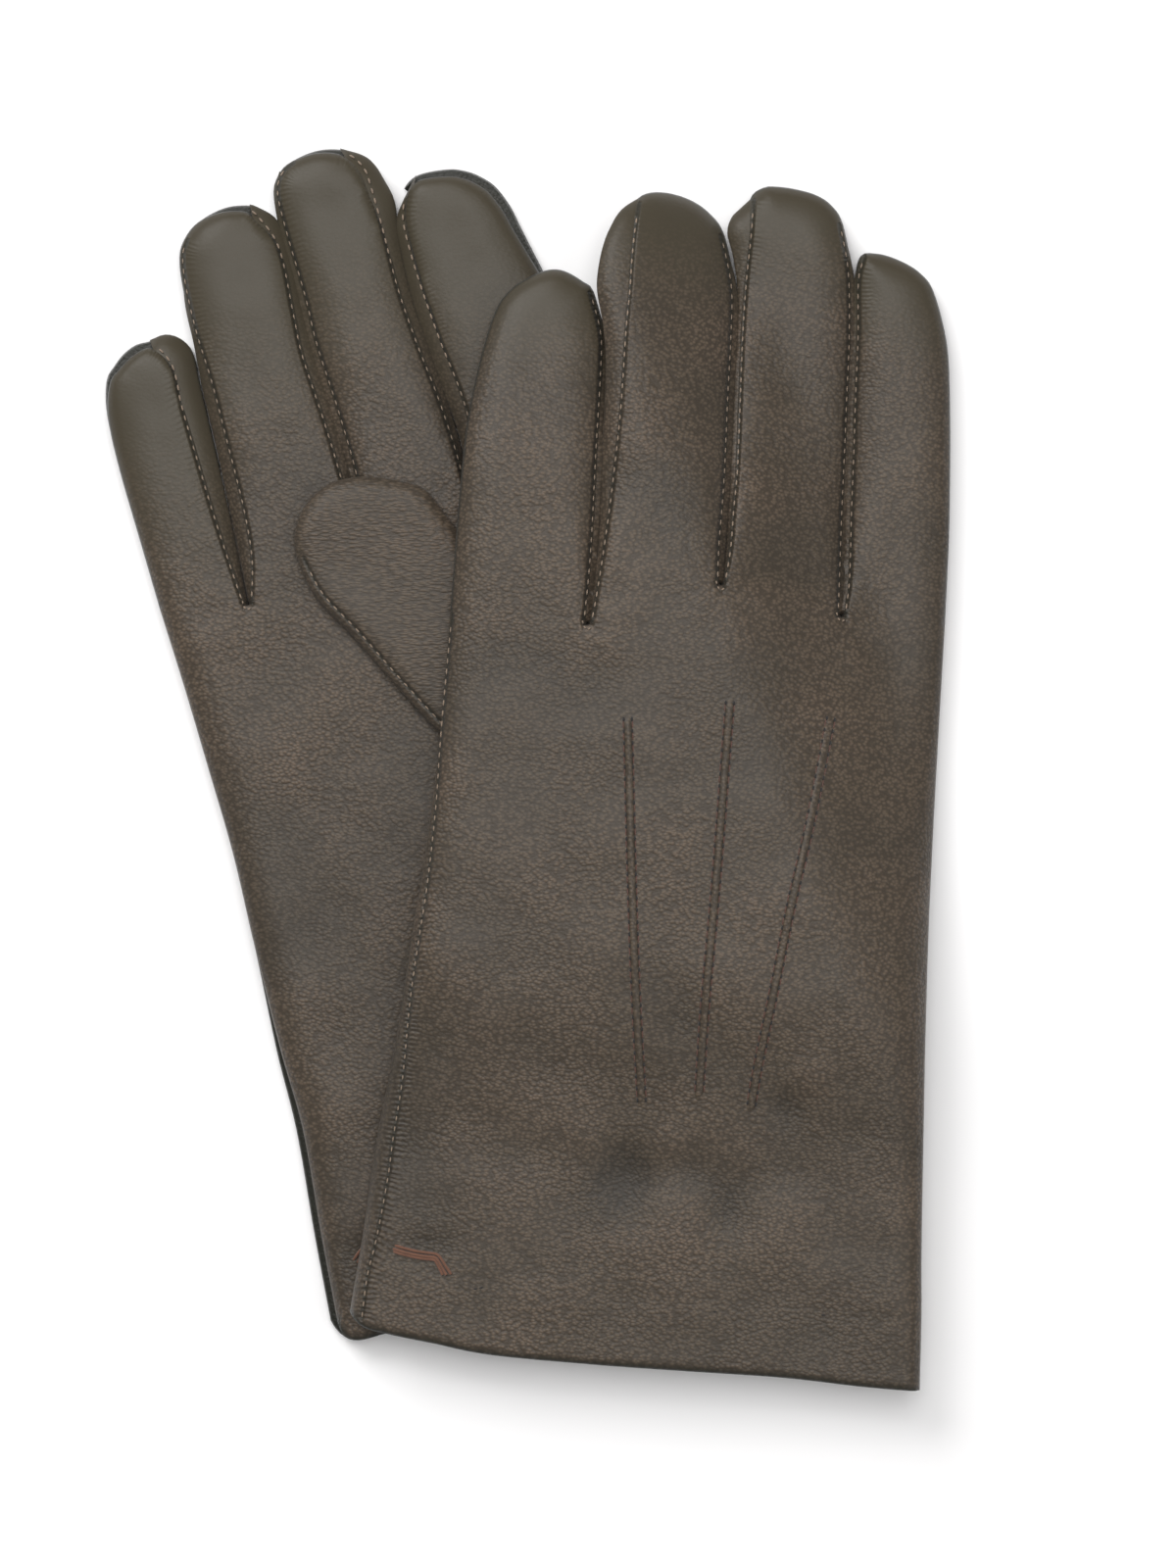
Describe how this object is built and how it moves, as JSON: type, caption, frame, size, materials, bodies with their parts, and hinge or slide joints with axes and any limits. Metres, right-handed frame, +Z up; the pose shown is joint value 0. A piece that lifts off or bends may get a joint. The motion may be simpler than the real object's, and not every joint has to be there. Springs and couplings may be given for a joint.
{
  "type": "pair of leather dress gloves",
  "caption": "Pair of lined leather dress gloves tacked at the cuff and fanned on a flat surface, one palm up with its thumb folded over, the other back up on top.",
  "frame": {"origin": "centre of the pair's footprint, on the surface that the gloves lie on", "axes": "+Y towards the fingertips of the upper glove, +X towards its index finger, +Z up from the table"},
  "size_m": [0.1796, 0.263, 0.0233],
  "materials": {
    "glove_leather": "soft satin nappa, fine grain",
    "knitted_lining": "brushed knit",
    "seam_thread": "light tan waxed thread",
    "point_thread": "near-black thread on the raised points",
    "tack_thread": "red-brown soft thread"
  },
  "bodies": {
    "right_hand": {"right_hand_trank": "glove_leather", "right_hem": "glove_leather", "right_hand_lining": "knitted_lining", "right_side_seam_thread": "seam_thread"},
    "right_little": {"right_little_stall": "glove_leather", "right_little_lining": "knitted_lining", "right_little_fourchette": "glove_leather"},
    "right_ring": {"right_ring_stall": "glove_leather", "right_ring_lining": "knitted_lining", "right_ring_fourchette_outer": "glove_leather", "right_ring_fourchette_inner": "glove_leather"},
    "right_middle": {"right_middle_stall": "glove_leather", "right_middle_lining": "knitted_lining", "right_middle_fourchette_outer": "glove_leather", "right_middle_fourchette_inner": "glove_leather"},
    "right_index": {"right_index_stall": "glove_leather", "right_index_lining": "knitted_lining", "right_index_fourchette": "glove_leather"},
    "right_thumb": {"right_thumb": "glove_leather", "right_thumb_lining": "knitted_lining", "right_thumb_seam_thread": "seam_thread"},
    "tack": {"tack_knot": "tack_thread"},
    "left_hand": {"left_hand_trank": "glove_leather", "left_hem": "glove_leather", "left_hand_lining": "knitted_lining", "left_side_seam_thread": "seam_thread", "left_point_ring": "point_thread", "left_point_middle": "point_thread", "left_point_index": "point_thread", "tack_loop": "tack_thread"},
    "left_little": {"left_little_stall": "glove_leather", "left_little_lining": "knitted_lining", "left_little_fourchette": "glove_leather"},
    "left_ring": {"left_ring_stall": "glove_leather", "left_ring_lining": "knitted_lining", "left_ring_fourchette_outer": "glove_leather", "left_ring_fourchette_inner": "glove_leather"},
    "left_middle": {"left_middle_stall": "glove_leather", "left_middle_lining": "knitted_lining", "left_middle_fourchette_outer": "glove_leather", "left_middle_fourchette_inner": "glove_leather"},
    "left_index": {"left_index_stall": "glove_leather", "left_index_lining": "knitted_lining", "left_index_fourchette": "glove_leather"},
    "left_thumb": {"left_thumb": "glove_leather", "left_thumb_lining": "knitted_lining", "left_thumb_seam_thread": "seam_thread"}
  },
  "joints": [
    {"name": "fan_open", "type": "hinge", "parent": "right_hand", "child": "tack", "pos_m": [-0.03849, -0.10269, 0.0088], "axis": [0, 0, -1], "range_deg": [0, 35]},
    {"name": "glove_lift", "type": "hinge", "parent": "tack", "child": "left_hand", "pos_m": [-0.04049, -0.11569, 0.0138], "axis": [-0.1377, -0.9905, 0], "range_deg": [0, 100]},
    {"name": "right_little_flex", "type": "hinge", "parent": "right_hand", "child": "right_little", "pos_m": [-0.07339, 0.04391, 0.0086], "axis": [0.9781, 0.2079, 0], "range_deg": [0, 45]},
    {"name": "right_ring_flex", "type": "hinge", "parent": "right_hand", "child": "right_ring", "pos_m": [-0.05349, 0.06141, 0.0086], "axis": [0.9781, 0.2079, 0], "range_deg": [0, 45]},
    {"name": "right_middle_flex", "type": "hinge", "parent": "right_hand", "child": "right_middle", "pos_m": [-0.02749, 0.06691, 0.0086], "axis": [0.9781, 0.2079, 0], "range_deg": [0, 45]},
    {"name": "right_index_flex", "type": "hinge", "parent": "right_hand", "child": "right_index", "pos_m": [-0.01199, 0.10711, 0.0086], "axis": [0.9781, 0.2079, 0], "range_deg": [0, 45]},
    {"name": "left_little_flex", "type": "hinge", "parent": "left_hand", "child": "left_little", "pos_m": [-0.00049, 0.04097, 0.0224], "axis": [0.9945, -0.1045, 0], "range_deg": [0, 35]},
    {"name": "left_ring_flex", "type": "hinge", "parent": "left_hand", "child": "left_ring", "pos_m": [0.02891, 0.04691, 0.0224], "axis": [0.9945, -0.1045, 0], "range_deg": [0, 35]},
    {"name": "left_middle_flex", "type": "hinge", "parent": "left_hand", "child": "left_middle", "pos_m": [0.05551, 0.04511, 0.0206], "axis": [0.9945, -0.1045, 0], "range_deg": [0, 35]},
    {"name": "left_index_flex", "type": "hinge", "parent": "left_hand", "child": "left_index", "pos_m": [0.07831, 0.03971, 0.0106], "axis": [0.9945, -0.1045, 0], "range_deg": [0, 35]},
    {"name": "right_thumb_swing", "type": "hinge", "parent": "right_hand", "child": "right_thumb", "pos_m": [-0.00499, 0.00631, 0.0088], "axis": [0, 0, 1], "range_deg": [0, 8]},
    {"name": "left_thumb_swing", "type": "hinge", "parent": "left_hand", "child": "left_thumb", "pos_m": [0.04101, -0.02769, 0.0088], "axis": [0, 0, -1], "range_deg": [0, 3]}
  ]
}
